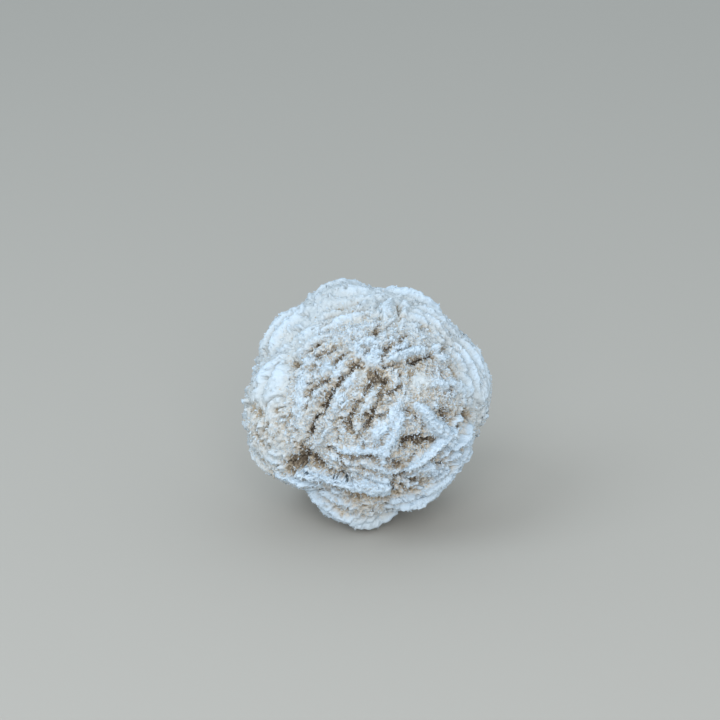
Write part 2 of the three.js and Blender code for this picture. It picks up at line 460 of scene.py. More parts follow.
def smooth_noise(points, pitch, salt):
    """From -1 to 1: random numbers on a cubic lattice of this pitch, blended between its corners by
    3t^2 - 2t^3 along each axis."""
    places = points / pitch
    cells = np.floor(places).astype(np.int64)
    parts = places - cells
    parts = parts * parts * (3.0 - 2.0 * parts)
    total = np.zeros(points.shape[:-1])
    for corner in itertools.product((0, 1), repeat=3):
        weights = np.where(corner, parts, 1.0 - parts).prod(axis=-1)
        total += weights * cell_random(cells + np.array(corner), salt)
    return 2.0 * total - 1.0


def fractal_noise(points, pitch, octaves, salt):
    """From -1 to 1: smooth noise summed over octaves, each at half the pitch and half the strength of the
    last, divided by the sum of the strengths."""
    strengths = [0.5 ** octave for octave in range(octaves)]
    layers = [strength * smooth_noise(points, pitch * strength, salt + octave)
              for octave, strength in enumerate(strengths)]
    return sum(layers) / sum(strengths)


def vector_noise(points, pitch, salt):
    """Three smooth noises side by side, for pushing points about."""
    return np.stack([smooth_noise(points, pitch, salt + 50 * axis) for axis in range(3)], axis=-1)


def nearest_grain(points, pitch, salt):
    """Distance to the nearest of points scattered one to a lattice cell, as a share of the pitch: the
    least over the 27 cells round each point."""
    places = points / pitch
    cells = np.floor(places).astype(np.int64)
    least = np.full(points.shape[:-1], 9.0)
    for step in itertools.product((-1, 0, 1), repeat=3):
        beside = cells + np.array(step)
        seeds = np.stack([cell_random(beside, salt + 7 * axis) for axis in range(3)], axis=-1)
        least = np.minimum(least, ((beside + seeds - places) ** 2).sum(axis=-1))
    return np.sqrt(least)


def smooth_step(values, low, high):
    """0 below low, 1 above high, and 3t^2 - 2t^3 between."""
    t = np.clip((values - low) / (high - low), 0.0, 1.0)
    return t * t * (3.0 - 2.0 * t)


def soft_max(values, soft):
    """The largest along the last axis, rounded where several meet: soft * log(sum(exp(value / soft)))."""
    top = values.max(axis=-1)
    return top + soft * np.log(np.exp((values - top[..., None]) / soft).sum(axis=-1))


# ------------------------------------------------------------------ lumps and blades

def unit(vectors):
    """Vectors divided by their lengths."""
    return vectors / np.linalg.norm(vectors, axis=-1, keepdims=True)


def direction_of(lon, lat):
    """The unit vector at lon and lat degrees: lon 0 is the front, -Y, and lon 90 is +X."""
    a, b = math.radians(lon), math.radians(lat)
    return np.array([math.cos(b) * math.sin(a), -math.cos(b) * math.cos(a), math.sin(b)])


def place_of(direction):
    """The lon and lat, in degrees, that a unit vector points to."""
    x, y, z = direction
    return math.degrees(math.atan2(x, -y)), math.degrees(math.asin(z))


def turned(vector, axis, angle):
    """A vector turned about a unit axis: v cos a + (k x v) sin a + k (k . v)(1 - cos a)."""
    along = axis * np.dot(axis, vector) * (1.0 - math.cos(angle))
    return vector * math.cos(angle) + np.cross(axis, vector) * math.sin(angle) + along


def lump_reaches(directions):
    """How far each lump reaches along each direction: the far root of a ray meeting a sphere."""
    middles = np.array([lump[1:4] for lump in LUMPS])
    radii = np.array([lump.radius for lump in LUMPS])
    along = directions @ middles.T
    clear = along ** 2 - (middles ** 2).sum(axis=1) + radii ** 2
    return np.where(clear > 0, along + np.sqrt(np.maximum(clear, 0)), 0.0)


def blades_of(row):
    """The blades of a row: each is stepped round the ball from its neighbour about the way the rims run,
    turned about the outward direction, and tipped by lean about its own rim."""
    middle = direction_of(row.lon, row.lat)
    rim = turned(direction_of(row.lon + 90, 0), middle, math.radians(row.dir))
    random = np.random.default_rng(int(abs(row.lon) * 7 + abs(row.lat) * 13))
    stands = np.full(row.count, float(row.stand))
    if row.count > 1:
        stands *= np.random.default_rng(row.count * 11).uniform(*STAND_SHARES, row.count)
    blades = []
    for number in range(row.count):
        place = number - (row.count - 1) / 2 + random.uniform(-PLACE_PUSH, PLACE_PUSH)
        outward = turned(middle, rim, place * row.step / lump_reaches(middle).max())
        own_rim = turned(rim, outward, math.radians(place * row.turn + random.uniform(-RIM_TURN, RIM_TURN)))
        across = turned(np.cross(outward, own_rim), own_rim, math.radians(row.lean))
        out = np.cross(own_rim, across)
        thick = row.thick * random.uniform(*THICK_SHARES)
        halves = np.array([row.length, thick, row.length * BLADE_DEPTH]) / 2
        reach = lump_reaches(outward).max() + stands[number]
        salt = int(row.lon * 7 + row.lat * 13 + number * 31) % 997
        axes = np.array([own_rim, across, out])
        blades.append(Blade(axes, outward * reach - out * halves[2], halves, salt))
    return blades


def even_place(number, count, push_lat, push_lon, random):
    """Longitude and latitude of one of count places, in degrees: spread evenly over the ball by the golden
    angle, and pushed aside at random by about these many degrees."""
    lat = math.degrees(math.asin(1 - (2 * number + 1) / count)) + random.normal() * push_lat
    lon = math.degrees(number * math.pi * (3 - math.sqrt(5))) + random.normal() * push_lon
    return lon, lat


def small_blades(count, seed):
    """Short thin blades grown between the large ones, evenly spread. Each has its own direction, size and
    stand from seeded random numbers. They sink on smooth spots."""
    random = np.random.default_rng(seed)
    blades = []
    for number in range(count):
        lon, lat = even_place(number, count, 3, 4, random)
        smooth = spot_strength(direction_of(lon, lat), SMOOTH_SPOTS)
        length = random.uniform(*SMALL_LENGTHS)
        way = random.normal(*SMALL_WAYS)
        thick = random.uniform(*SMALL_THICKS)
        stand = random.uniform(*SMALL_STANDS) - 0.8 * smooth
        blades += blades_of(Row("small", lon, lat, way, 1, 0, 0, length, thick, stand, random.normal(0, 22)))
    return blades


def blade_reach(directions, blade):
    """Where a ray from the ball's middle leaves a blade: the far root of the ellipsoid's quadratic, in the
    blade's own axes divided by its half sizes. Rays that miss it get nothing."""
    scale = blade.axes / blade.halves[:, None]
    rays = directions @ scale.T
    middle = scale @ blade.middle
    a = (rays ** 2).sum(axis=-1)
    b = rays @ middle
    clear = b * b - a * (middle @ middle - 1.0)
    return np.where(clear > 0, (b + np.sqrt(np.maximum(clear, 0))) / a, 0.0)


def spot_strength(directions, spots):
    """The sum of the spots at each direction, each falling off as exp(-(angle / spread)^2), at most 1."""
    total = np.zeros(directions.shape[:-1])
    for spot in spots:
        cosine = np.clip(directions @ direction_of(spot.lon, spot.lat), -1, 1)
        total += spot.amount * np.exp(-(np.degrees(np.arccos(cosine)) / spot.spread) ** 2)
    return np.minimum(total, 1.0)


def ground_reach(directions):
    """The lumps joined with rounded valleys, less what the rounding adds, with slow swells."""
    swell = smooth_noise(directions * BALL_RADIUS, 6.0, 11)
    return soft_max(lump_reaches(directions), LUMP_JOIN) - 0.25 + 0.35 * swell


# ------------------------------------------------------------------ crust

class Relief(NamedTuple):
    """The crust along each direction: its distance from the ball's middle, its height over the lumps, the
    place on the outermost blade, and how deep pits, furrows and slits cut there, all mm."""
    reach: np.ndarray
    height: np.ndarray
    place: np.ndarray
    carved: np.ndarray


def carve(shell, furrows):
    """Depth cut by furrows at each place on the ball, mm: depth * exp(-(distance / width)^2), the distance
    taken to the straight line between a furrow's ends and made ragged by noise. The deepest cut counts."""
    ragged = 1.0 + 0.4 * smooth_noise(shell, 1.0, 27)
    cut = np.zeros(shell.shape[:-1])
    for furrow in furrows:
        start = direction_of(furrow.lon, furrow.lat) * BALL_RADIUS
        along = direction_of(furrow.end_lon, furrow.end_lat) * BALL_RADIUS - start
        reach = np.linalg.norm(along) / 2 + 3 * furrow.width
        near = np.nonzero(np.linalg.norm(shell - start - along / 2, axis=-1) < reach)
        offset = shell[near] - start
        share = np.clip(offset @ along / (along @ along), 0.0, 1.0)
        away = np.linalg.norm(offset - share[:, None] * along, axis=-1) * ragged[near]
        cut[near] = np.maximum(cut[near], furrow.depth * np.exp(-(away / furrow.width) ** 2))
    return cut


def small_furrows(count, seed):
    """Short slits between small crystals, evenly spread and mostly running the way the front's rims do."""
    random = np.random.default_rng(seed)
    furrows = []
    for number in range(count):
        lon, lat = even_place(number, count, 4, 6, random)
        middle = direction_of(lon, lat)
        way = turned(direction_of(lon + 90, 0), middle, math.radians(random.normal(*SLIT_WAYS)))
        turn = random.uniform(*SLIT_LENGTHS) / 2 / BALL_RADIUS
        start, end = place_of(unit(middle - way * turn)), place_of(unit(middle + way * turn))
        furrows.append(Furrow(*start, *end, random.uniform(*SLIT_WIDTHS), random.uniform(*SLIT_DEPTHS)))
    return furrows


def relief_of(directions, blades, slits):
    """Ridges over the lumps. The directions are first pushed about by noise, so that rims run wavy. The
    blades' reaches are joined as the log of summed exponentials, nicked and gapped by noise, and joined to
    the ground with a rounded foot. Then furrows, pits and small slits are cut, each depth taken from the
    reach: a pit's is depth * exp(-(distance / radius)^2). Slits are shallower on the high ridges."""
    shell = directions * BALL_RADIUS
    pushed = shell + 0.5 * vector_noise(shell, 4.5, 21) + 0.2 * vector_noise(shell, 1.5, 22)
    wavy = unit(pushed)
    joined = np.zeros(directions.shape[:-1])
    best = np.zeros(directions.shape[:-1])
    place = shell.copy()
    for blade in blades:
        seen = np.nonzero(wavy @ unit(blade.middle) > math.cos(1.15 * blade.halves[0] / BALL_RADIUS))
        reaches = blade_reach(wavy[seen], blade)
        joined[seen] = np.logaddexp(joined[seen], reaches / BLADE_JOIN)
        local = (wavy[seen] * reaches[:, None] - blade.middle) @ blade.axes.T + blade.salt
        ahead = reaches > best[seen]
        best[seen] = np.where(ahead, reaches, best[seen])
        place[seen] = np.where(ahead[:, None], local, place[seen])
    nicks = 0.16 * smooth_noise(shell, 2.4, 23) + 0.14 * smooth_noise(shell, 0.9, 25)
    gaps = 0.3 * smooth_step(smooth_noise(shell, 3.0, 26), 0.15, 0.6)
    ridges = joined * BLADE_JOIN + nicks - gaps
    ground = ground_reach(directions)
    reach = soft_max(np.stack([ground, ridges], axis=-1), FOOT_JOIN)
    carved = carve(shell, FURROWS)
    ragged = 1.0 + 0.35 * smooth_noise(shell, 0.9, 24)
    for pit in PITS:
        away = np.linalg.norm(shell - direction_of(pit.lon, pit.lat) * BALL_RADIUS, axis=-1)
        carved += pit.depth * np.exp(-(away * ragged / pit.radius) ** 2)
    reach -= carved
    slit = carve(shell, slits) * (1.0 - 0.75 * smooth_step(reach - ground, 0.9, 1.7))
    reach -= slit
    return Relief(reach, reach - ground, place, carved + slit)


def grid_normals(points):
    """Outward unit normals on a grid of points: the cross product of the differences along its two ways."""
    first = np.gradient(points, axis=0)
    second = np.gradient(points, axis=1)
    return unit(np.cross(first, second))


def threads(points, pitch, salt):
    """Thin crinkled crests along the zero lines of smooth noise, 0 to 1: (1 - |noise|)^4."""
    return (1.0 - abs(smooth_noise(points, pitch, salt))) ** 4


def fine_relief(points, height, place, sandy, smooth):
    """Grain of the crust along its normals, mm: crystal grains, thin crests and pinholes where it is sandy,
    and streaks along each blade's rim on the ridges. It is quiet on the smooth spots."""
    crest = smooth_step(height, 0.3, 1.2)
    rough = (0.6 + 0.55 * sandy) * (1.0 - 0.5 * smooth)
    grains = 0.5 - nearest_grain(points, 0.55, 31)
    crests = threads(points, 1.1, 35) + 0.7 * threads(points, 0.6, 36)
    lumps = fractal_noise(points, 0.9, 2, 32)
    streaks = fractal_noise(place / np.array([2.4, 0.35, 0.5]), 1.0, 2, 33)
    holes = smooth_step(fractal_noise(points, 1.1, 2, 34), 0.28, 0.65)
    total = (0.32 * grains + 0.34 * (crests - 0.5)) * (1.0 - 0.15 * crest) + 0.24 * lumps
    total -= 0.8 * holes * (0.25 + 0.9 * sandy) * (1.0 - 0.7 * crest)
    return rough * total + 0.26 * streaks * crest * (1.0 - 0.6 * smooth)


def upturn(directions, height):
    """How far a ridge's rim has risen up the ball's side, mm: 0.5 of its height well below the ball's waist,
    so that ledges there run out more level, fading to nothing above it, along the upward tangent."""
    level = directions[..., 2:3]
    tangent = unit(np.array([0.0, 0.0, 1.0]) - directions * level)
    share = smooth_step(-level, 0.05, 0.45) * smooth_step(level, -1.0, -0.8)
    return tangent * 0.5 * share * np.clip(height, -0.3, 2.6)[..., None]


def cube_grid(axis, side, cells, overlap):
    """Directions through a square grid on one face of a cube round the ball, and how far past the face's
    border each is, radians: axis + tan(a) side + tan(b) up, made unit, with a and b in even steps from -45
    to 45 degrees and a little past."""
    up = np.cross(axis, side)
    steps = np.linspace(-1 - overlap, 1 + overlap, cells + 1) * math.pi / 4
    a, b = np.meshgrid(steps, steps, indexing="ij")
    directions = unit(axis + np.tan(a)[..., None] * side + np.tan(b)[..., None] * up)
    past = np.maximum(np.maximum(abs(a), abs(b)) - math.pi / 4, 0.0)
    return directions, past


def grid_faces(rows, columns):
    """Quads of a grid of rows by columns points, in order round each cell."""
    number = np.arange(rows * columns).reshape(rows, columns)
    corners = (number[:-1, :-1], number[1:, :-1], number[1:, 1:], number[:-1, 1:])
    return np.stack([corner.ravel() for corner in corners], axis=-1)


def wedge_faces(size):
    """A square grid closed by a fan from its border to one more point behind it, as triangles."""
    quads = grid_faces(size, size)
    sheet = np.concatenate([quads[:, [0, 1, 2]], quads[:, [0, 2, 3]]])
    number = np.arange(size * size).reshape(size, size)
    border = np.concatenate([number[:-1, 0], number[-1, :-1], number[:0:-1, -1], number[0, :0:-1]])
    tip = np.full(len(border), size * size)
    return np.concatenate([sheet, np.stack([np.roll(border, -1), border, tip], axis=-1)])


def crust_wedge(axis, side, cells, blades, slits):
    """One sixth of the crust as points, faces and attributes. The relief gives the distance along each
    direction, the fine relief moves each point along its normal, and past the border the sheet dips so that
    the next wedge covers it."""
    directions, past = cube_grid(axis, side, cells, OVERLAP_CELLS / cells)
    relief = relief_of(directions, blades, slits)
    points = directions * relief.reach[..., None] + upturn(directions, relief.height)
    sandy = np.minimum(sand_and_shade_share(directions) + 0.4 * smooth_step(relief.carved, 0.4, 1.5), 1.0)
    smooth = spot_strength(directions, SMOOTH_SPOTS)
    fine = fine_relief(points, relief.height, relief.place, sandy, smooth)
    points = points + grid_normals(points) * fine[..., None]
    points = points - directions * (past * BALL_RADIUS * OVERLAP_SLOPE)[..., None]
    closed = np.concatenate([points.reshape(-1, 3), np.zeros((1, 3))])
    # The height sets the painted shade of the hollows in the crust's colour.
    values = {"height": relief.height + GRAIN_IN_COLOUR * fine, "sandy": sandy, "smooth": smooth}
    attributes = {key: np.append(value.ravel(), 0.0) for key, value in values.items()}
    return closed, wedge_faces(cells + 1), attributes


def sand_and_shade_share(directions):
    """How sandy the hollows are, 0 to 1, with the painted brown shade of the spots low on the left and under
    the ball: the sandy spots and a patchy share of their own, less the smooth spots."""
    patches = smooth_noise(directions * BALL_RADIUS, 5.0, 41)
    sandy = np.clip(0.25 + spot_strength(directions, SAND_AND_SHADE_SPOTS) + 0.2 * patches, 0.0, 1.0)
    return sandy * (1.0 - 0.8 * spot_strength(directions, SMOOTH_SPOTS))


# ------------------------------------------------------------------ thin plates

def plate_surface(blade):
    """A closed lens over a turn round its disc and a tilt across it from one face's pole to the other: an
    ellipsoid whose points are cos(turn) sin(tilt), cos(tilt) and sin(turn) sin(tilt) times its half sizes.
    Turns lie closer at the outer rim and tilts at the poles. The disc's radius is scalloped by noise, and
    terraces, swells and grain move each point along the ellipsoid's normal."""
    turns = np.linspace(0, 2 * math.pi, PLATE_AROUND, endpoint=False)
    turns = turns + 0.55 * np.cos(turns)
    tilts = np.linspace(0, math.pi, PLATE_ACROSS)
    tilts = tilts - 0.22 * np.sin(2 * tilts)
    angle, tilt = np.meshgrid(turns, tilts, indexing="ij")
    ring = np.stack([np.cos(angle), np.sin(angle), np.zeros_like(angle)], axis=-1) * blade.halves[0]
    ring = ring + blade.salt
    scallop = 1.0 + 0.09 * smooth_noise(ring, 2.4, 51) + 0.06 * smooth_noise(ring, 0.8, 52)
    out = np.sin(tilt) * scallop
    local = np.stack([np.cos(angle) * out, np.cos(tilt), np.sin(angle) * out], axis=-1)
    normals = unit(local / blade.halves) @ blade.axes
    points = (local * blade.halves) @ blade.axes + blade.middle
    terraces = 0.12 * np.sin(out * blade.halves[0] * 4.2 + 3.0 * smooth_noise(points, 3.0, 53))
    swells = 0.3 * smooth_noise(points, 2.2, 56)
    grain = 0.3 * fractal_noise(points, 0.9, 2, 54) + 0.28 * threads(points, 0.8, 55)
    rough = 1.0 - 0.75 * spot_strength(unit(points), SMOOTH_SPOTS)
    points += normals * (rough * (terraces + swells + grain))[..., None]
    return points


def plate_faces():
    """Quads of a plate's grid, closed round its disc, whose two ends across it are poles."""
    first = np.arange(PLATE_AROUND)[:, None] * PLATE_ACROSS
    second = np.roll(np.arange(PLATE_AROUND), -1)[:, None] * PLATE_ACROSS
    way = np.arange(PLATE_ACROSS - 1)[None, :]
    corners = (first + way, first + way + 1, second + way + 1, second + way)
    return np.stack([corner.ravel() for corner in corners], axis=-1)


# ------------------------------------------------------------------ meshes

def add_mesh(name, points, faces, attributes, material, shade_smooth=True):
    """A mesh object from points in mm from the ball's middle, cut off level at the resting
    surface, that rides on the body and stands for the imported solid."""
    metres = (points + BALL_MIDDLE) * MM
    metres[:, 2] = np.maximum(metres[:, 2], 0.0)
    mesh = bpy.data.meshes.new(name)
    mesh.vertices.add(len(metres))
    mesh.vertices.foreach_set("co", metres.astype(np.float32).ravel())
    mesh.loops.add(faces.size)
    mesh.loops.foreach_set("vertex_index", faces.astype(np.int32).ravel())
    mesh.polygons.add(len(faces))
    mesh.polygons.foreach_set("loop_start", np.arange(0, faces.size, faces.shape[1], dtype=np.int32))
    mesh.polygons.foreach_set("use_smooth", np.full(len(faces), shade_smooth))
    mesh.update(calc_edges=True)
    mesh.validate()
    for key, values in attributes.items():
        layer = mesh.attributes.new(key, "FLOAT", "POINT")
        layer.data.foreach_set("value", values.astype(np.float32))
    mesh.materials.append(material)
    piece = bpy.data.objects.new(name, mesh)
    bpy.context.scene.collection.objects.link(piece)
    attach(piece, "root")
    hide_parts(NODE)
    return piece


# ------------------------------------------------------------------ materials

def linear(hex_colour):
    """An sRGB hex value as linear red, green, blue and alpha."""
    parts = [int(hex_colour[i:i + 2], 16) / 255 for i in (1, 3, 5)]
    return [p / 12.92 if p <= 0.04045 else ((p + 0.055) / 1.055) ** 2.4 for p in parts] + [1.0]


def add_node(tree, kind, inputs=None, **settings):
    """A node with its settings. Each input is given by name or number, as a value or as a socket to link."""
    node = tree.nodes.new(kind)
    for key, value in settings.items():
        setattr(node, key, value)
    for key, value in (inputs or {}).items():
        if isinstance(value, bpy.types.NodeSocket):
            tree.links.new(value, node.inputs[key])
        else:
            node.inputs[key].default_value = value
    return node


def attribute(tree, key):
    """A number that each point of the mesh carries."""
    return add_node(tree, "ShaderNodeAttribute", attribute_name=key).outputs["Fac"]


def mottle(tree, size_mm, detail=3.0, roughness=0.5):
    """Cloudy noise in the object's own space, 0 to 1, with features of this size."""
    place = add_node(tree, "ShaderNodeTexCoord").outputs["Object"]
    inputs = {"Vector": place, "Scale": 1.0 / (size_mm * MM), "Detail": detail, "Roughness": roughness}
    return add_node(tree, "ShaderNodeTexNoise", inputs).outputs["Fac"]


def combine(tree, operation, first, second):
    """One number from two."""
    return add_node(tree, "ShaderNodeMath", {0: first, 1: second}, operation=operation).outputs[0]


def ramp(tree, value, low, high, at_low=0.0, at_high=1.0):
    """A straight change from one number to another while the value goes from low to high, flat outside."""
    inputs = {"Value": value, "From Min": low, "From Max": high, "To Min": at_low, "To Max": at_high}
    return add_node(tree, "ShaderNodeMapRange", inputs).outputs[0]


def mix(tree, share, first, second):
    """A blend from a first colour to a second, each a socket or a colour setting."""
    sockets = [colour if isinstance(colour, bpy.types.NodeSocket) else (*colour, 1.0)
               for colour in (first, second)]
    inputs = {0: share, 6: sockets[0], 7: sockets[1]}
    return add_node(tree, "ShaderNodeMix", inputs, data_type="RGBA").outputs[2]


def bump(tree, height, strength, depth_mm, under=None):
    """Normals dented by a height, on top of any bump under it."""
    inputs = {"Height": height, "Strength": strength, "Distance": depth_mm * MM}
    if under is not None:
        inputs["Normal"] = under
    return add_node(tree, "ShaderNodeBump", inputs).outputs[0]


def new_material(name):
    """An empty material and its node tree."""
    material = bpy.data.materials.new(name)
    material.use_nodes = True
    material.node_tree.nodes.clear()
    return material, material.node_tree


def add_surface(tree, **inputs):
    """The material's surface, from the shader's inputs with _ for each space."""
    named = {key.replace("_", " "): value for key, value in inputs.items()}
    surface = add_node(tree, "ShaderNodeBsdfPrincipled", named)
    add_node(tree, "ShaderNodeOutputMaterial", {"Surface": surface.outputs[0]})


def weathered_gypsum():
    """Gypsum, white and dull, grown in sand and worn by handling. The eye sees chalky blue-white ridges,
    creamier smooth faces, and tan to brown sand stuck in the pores of every hollow. The hollows are also
    painted greyer and browner the deeper they lie, which is painted shade."""
    settings = bpy.context.scene.sand_rose
    material, tree = new_material("weathered_gypsum")
    height = attribute(tree, "height")
    # The sandy share also carries the painted brown shade of some underside spots.
    sandy = attribute(tree, "sandy")
    specks = mottle(tree, 0.5, roughness=0.6)

    # Crystal: whitest on the ridges and greyer down in the hollows, which is painted shade; warmer where sand
    # tints it, creamy in patches of the smooth faces.
    hollow = mix(tree, sandy, settings.shaded_hollow_white, settings.hollow_warm)
    body = mix(tree, ramp(tree, height, 0.1, 1.3), hollow, settings.crest_white)
    cream = combine(tree, "MULTIPLY", attribute(tree, "smooth"), mottle(tree, 3.0))
    body = mix(tree, cream, body, settings.cream_white)

    # Sand and painted shade: the deeper the hollow and the sandier the place, the more of its specks are tan,
    # then brown. The tan is sand; the darkening with depth, down to the brown of the deepest pores, is partly
    # painted shade.
    depth = combine(tree, "ADD", ramp(tree, height, 1.0, -0.8), ramp(tree, height, -0.6, -2.2, 0.0, 0.5))
    amount = combine(tree, "MULTIPLY", depth, sandy)
    lifted = combine(tree, "ADD", amount, ramp(tree, specks, 0.33, 0.67, -0.38, 0.38))
    body = mix(tree, ramp(tree, lifted, 0.44, 0.86), body, settings.sand_tan)
    body = mix(tree, ramp(tree, lifted, 0.95, 1.45), body, settings.pit_sand_and_shade)

    grain = bump(tree, specks, 0.9, 0.2)
    powder = bump(tree, mottle(tree, 0.16), 0.7, 0.07, grain)
    add_surface(tree, Base_Color=body, Roughness=0.82, IOR=1.52, Specular_IOR_Level=0.35, Normal=powder)
    return material


def fresh_gypsum():
    """Small gypsum crystals grown in the pores and broken at their edges: whiter and glossier than the worn
    crust, each with its own tone, so that the surface looks sugared and glints a little."""
    settings = bpy.context.scene.sand_rose
    material, tree = new_material("fresh_gypsum_flakes")
    body = mix(tree, attribute(tree, "tone"), settings.sand_tan, settings.crest_white)
    dust = bump(tree, mottle(tree, 0.4, detail=2.0), 0.3, 0.04)
    add_surface(tree, Base_Color=body, Roughness=0.5, IOR=1.52, Specular_IOR_Level=0.5, Normal=dust)
    return material


def quartz_sand():
    """Rounded desert sand, quartz with a film of iron: darker to paler tan, each grain of one tone."""
    settings = bpy.context.scene.sand_rose
    material, tree = new_material("iron_stained_quartz_sand")
    body = mix(tree, attribute(tree, "tone"), settings.sand_tan, settings.grain_pale)
    add_surface(tree, Base_Color=body, Roughness=0.55, IOR=1.54, Specular_IOR_Level=0.5)
    return material


def pale_floor():
    """Matt painted board, pale and even, so that nothing on it draws the eye."""
    material, tree = new_material("matt_painted_board")
    add_surface(tree, Base_Color=(*bpy.context.scene.rose_stage.floor_colour, 1.0), Roughness=0.9)
    return material


# ------------------------------------------------------------------ scattered crystals and sand

class Crust(NamedTuple):
    """The crust's points and normals, mm from the ball's middle, with their attributes."""
    points: np.ndarray
    normals: np.ndarray
    height: np.ndarray
    sandy: np.ndarray
    smooth: np.ndarray


def read_crust():
    """The points of all crust and plate pieces made so far, without those deep inside or at the floor."""
    parts = []
    for piece in bpy.context.scene.collection.objects:
        if piece.type != "MESH" or "height" not in piece.data.attributes:
            continue
        mesh = piece.data
        count = len(mesh.vertices)
        places = np.empty(count * 3, dtype=np.float32)
        mesh.vertices.foreach_get("co", places)
        normals = np.empty(count * 3, dtype=np.float32)
        mesh.vertex_normals.foreach_get("vector", normals)
        values = []
        for key in ("height", "sandy", "smooth"):
            layer = np.empty(count, dtype=np.float32)
            mesh.attributes[key].data.foreach_get("value", layer)
            values.append(layer)
        parts.append((places.reshape(-1, 3) / MM - BALL_MIDDLE, normals.reshape(-1, 3), *values))
    points, normals, height, sandy, smooth = (np.concatenate(part) for part in zip(*parts))
    shown = np.linalg.norm(points, axis=1) > DEEP_INSIDE
    shown &= points[:, 2] + BALL_MIDDLE[2] > FLOOR_GAP
    return Crust(points[shown], normals[shown], height[shown], sandy[shown], smooth[shown])


def scatter(crust, chance, count, random):
    """Numbers of count different crust points, picked with the given chance each."""
    return random.choice(len(crust.points), size=count, replace=False, p=chance / chance.sum())


def random_axes(count, random):
    """Random frames: two random directions made square to each other, and their cross product."""
    first = unit(random.normal(size=(count, 3)))
    other = random.normal(size=(count, 3))
    second = unit(other - first * (other * first).sum(axis=1, keepdims=True))
    return np.stack([first, second, np.cross(first, second)], axis=1)


def copies(shape, faces, axes, sizes, places):
    """A small closed shape repeated: each copy's points are scaled, turned into its axes and moved."""
    points = np.einsum("nvi,nij->nvj", shape * sizes[:, None, :], axes) + places[:, None, :]
    offsets = np.arange(len(places))[:, None, None] * shape.shape[-2]
    return points.reshape(-1, 3), (faces[None] + offsets).reshape(-1, 3)


def flake_shape(sides):
    """A thin lens with a cornered rim: points on a unit ellipse, and one point above and one below."""
    angles = np.arange(sides) * 2 * math.pi / sides
    rim = np.stack([np.cos(angles), np.sin(angles), np.zeros(sides)], axis=-1)
    points = np.concatenate([rim, [[0.1, 0.0, 1.0], [-0.1, 0.0, -1.0]]])
    number = np.arange(sides)
    following = np.roll(number, -1)
    top = np.stack([number, following, np.full(sides, sides)], axis=-1)
    under = np.stack([following, number, np.full(sides, sides + 1)], axis=-1)
    return points, np.concatenate([top, under])


def grain_shape():
    """The twelve corners and twenty faces of an icosahedron, its corners at distance 1."""
    golden = (1 + math.sqrt(5)) / 2
    corners = [(0, a, b * golden) for a in (-1, 1) for b in (-1, 1)]
    corners += [(a, b * golden, 0) for a in (-1, 1) for b in (-1, 1)]
    corners += [(b * golden, 0, a) for a in (-1, 1) for b in (-1, 1)]
    points = unit(np.array(corners, dtype=float))
    longest_edge = 1.06
    faces = []
    for a, b, c in itertools.combinations(range(12), 3):
        sides = [np.linalg.norm(points[i] - points[j]) for i, j in ((a, b), (b, c), (c, a))]
        if max(sides) < longest_edge:
            outward = np.dot(np.cross(points[b] - points[a], points[c] - points[a]), points[a]) > 0
            faces.append((a, b, c) if outward else (a, c, b))
    return points, np.array(faces)


# ------------------------------------------------------------------ settings

def colour_setting(name, description, hex_colour):
    """A colour property whose default is an sRGB hex value."""
    return FloatVectorProperty(name=name, description=description, subtype="COLOR", size=3, min=0.0, max=1.0,
                               default=linear(hex_colour)[:3])


def count_setting(name, description, default, least, most):
    """A whole-number property."""
    return IntProperty(name=name, description=description, default=default, min=least, max=most)


class SandRoseSettings(bpy.types.PropertyGroup):
    """Colours, counts and sizes of the crust, flakes and sand"""
    crest_white: colour_setting("Ridge white", "Colour of the blades' rims", "#C7D6E0")
    # Painted shade: the greyer white given to clean crystal down in the hollows.
    shaded_hollow_white: colour_setting("Hollow white", "Colour of clean crystal in the hollows", "#BDC8CD")
    hollow_warm: colour_setting("Sandy hollow", "Colour of crystal tinted by sand", "#CEC8BC")
    cream_white: colour_setting("Face cream", "Colour of the smooth worn faces", "#CAD0D0")
    sand_tan: colour_setting("Sand", "Colour of the sand packed in the hollows", "#AC9E88")
    # Partly painted shade: the brown of sand and of shade in the deepest pores.
    pit_sand_and_shade: colour_setting("Pit brown", "Colour of the deepest pores", "#6F6251")
    grain_pale: colour_setting("Pale grain", "Colour of the palest sand grains", "#C6BCAA")
    front_cells: count_setting("Front grid", "Cells along each side of the crust's front", 290, 40, 300)
    other_cells: count_setting("Other grids", "Cells along each side of the crust elsewhere", 164, 40, 300)
    small_blade_count: count_setting("Small blades", "How many short blades fill the gaps", 1100, 0, 2000)
    small_furrow_count: count_setting("Small slits", "How many short slits part the crystals", 460, 0, 2000)
    flake_count: count_setting("Flakes", "How many small crystals are scattered", 32000, 0, 40000)
    flake_length: FloatProperty(name="Flake length", description="Usual length of a small crystal",
                                default=0.66 * MM, min=0.1 * MM, max=2 * MM, unit="LENGTH")
    sand_count: count_setting("Sand grains", "How many loose grains are lodged in the hollows", 3500, 0, 9000)
    sand_width: FloatProperty(name="Sand width", description="Usual width of a sand grain", default=0.3 * MM,
                              min=0.05 * MM, max=1 * MM, unit="LENGTH")


class RoseStageSettings(bpy.types.PropertyGroup):
    """Floor, lights and camera"""
    floor_colour: colour_setting("Floor", "Colour of the floor", "#B4AEA4")
    key_power: FloatProperty(name="Key light", description="Power of the large light high on the left",
                             default=1.3, min=0.0, unit="POWER")
    fill_power: FloatProperty(name="Fill light", description="Power of the large light in front", default=4.5,
                              min=0.0, unit="POWER")
    elevation: FloatProperty(name="Camera elevation", description="How steeply the camera looks down",
                             default=math.radians(22), min=0.0, max=math.pi / 2, subtype="ANGLE")
    distance: FloatProperty(name="Camera distance", description="From the camera to the middle of the ball",
                            default=0.476, min=0.1, unit="LENGTH")
    lens: FloatProperty(name="Lens", description="Focal length on a 36 mm sensor", default=120.0, min=10.0,
                        unit="CAMERA")


# ------------------------------------------------------------------ operators

